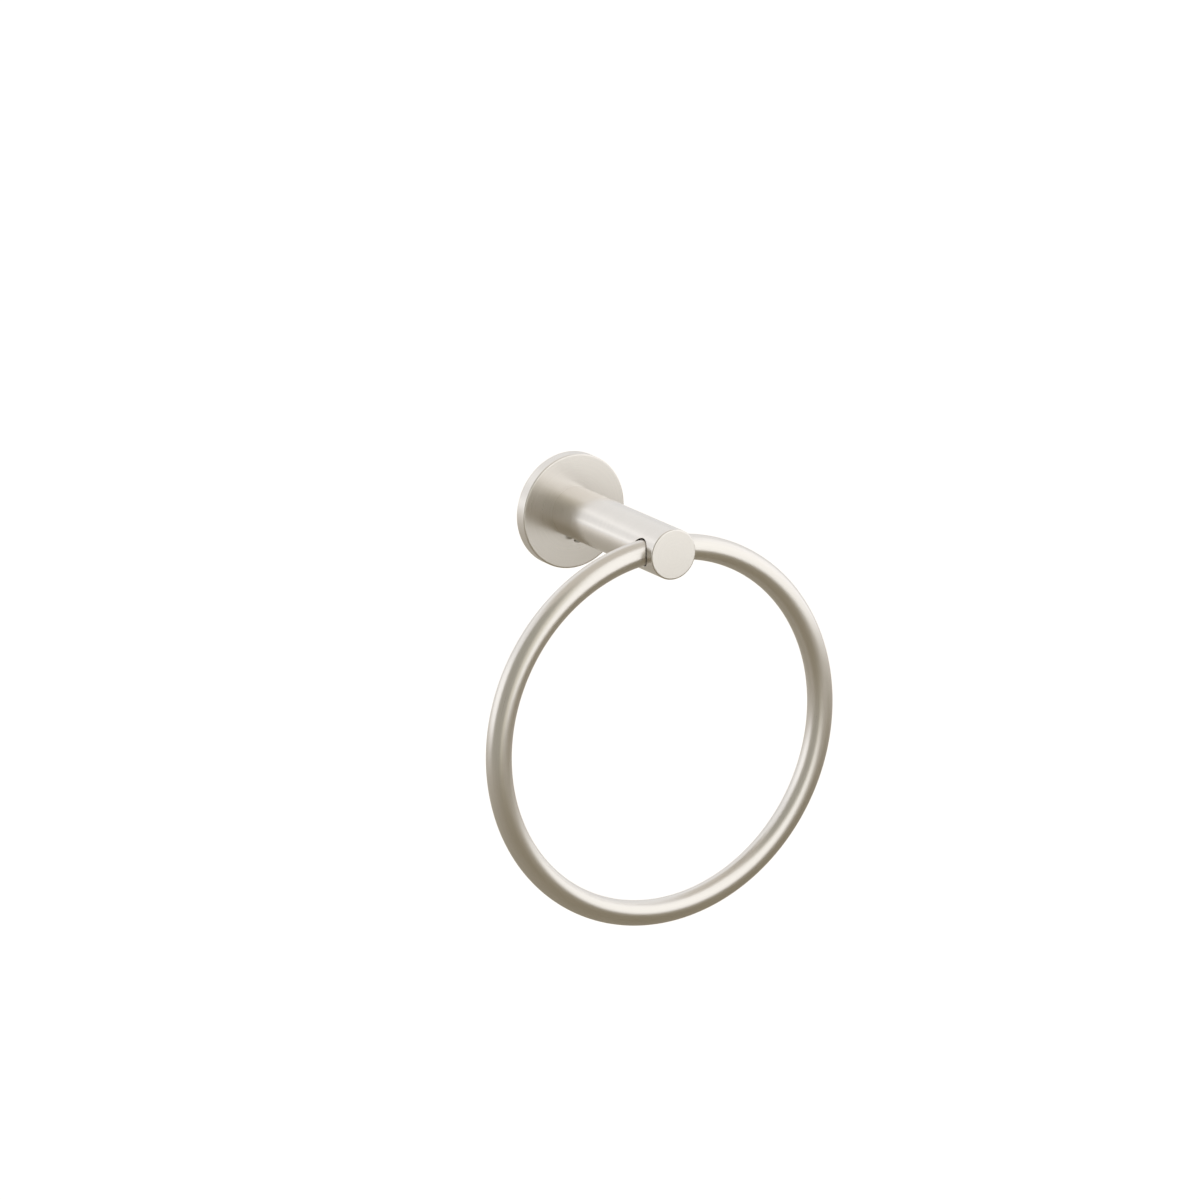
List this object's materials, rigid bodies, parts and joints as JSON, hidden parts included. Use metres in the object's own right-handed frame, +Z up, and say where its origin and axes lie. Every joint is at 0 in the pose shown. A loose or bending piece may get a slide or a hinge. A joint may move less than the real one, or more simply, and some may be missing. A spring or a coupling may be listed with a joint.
{
  "type": "towel ring",
  "caption": "Wall-mounted towel ring: a round flange and post, and a closed ring of round bar that hangs in the post's cross hole.",
  "frame": {"origin": "centre of the flange's back face, in the plane of the wall", "axes": "+Z up, +Y into the wall, so the post stands out along -Y and the ring hangs in a plane parallel to the wall"},
  "size_m": [0.1718, 0.0866, 0.1912],
  "materials": {
    "satin_nickel": "warm satin nickel, very finely brushed",
    "cast_zinc": "plain die-cast zinc, dull grey",
    "screw_steel": "plain steel, bright where the socket is cut"
  },
  "bodies": {
    "holder": {"flange": "satin_nickel", "post": "satin_nickel", "mounting_bracket": "cast_zinc", "set_screw": "screw_steel"},
    "ring": {"ring": "satin_nickel"}
  },
  "joints": [
    {"name": "ring_swing", "type": "hinge", "parent": "holder", "child": "ring", "pos_m": [0, -0.0764, 0], "axis": [-1, 0, 0], "range_deg": [-26, 206]}
  ]
}
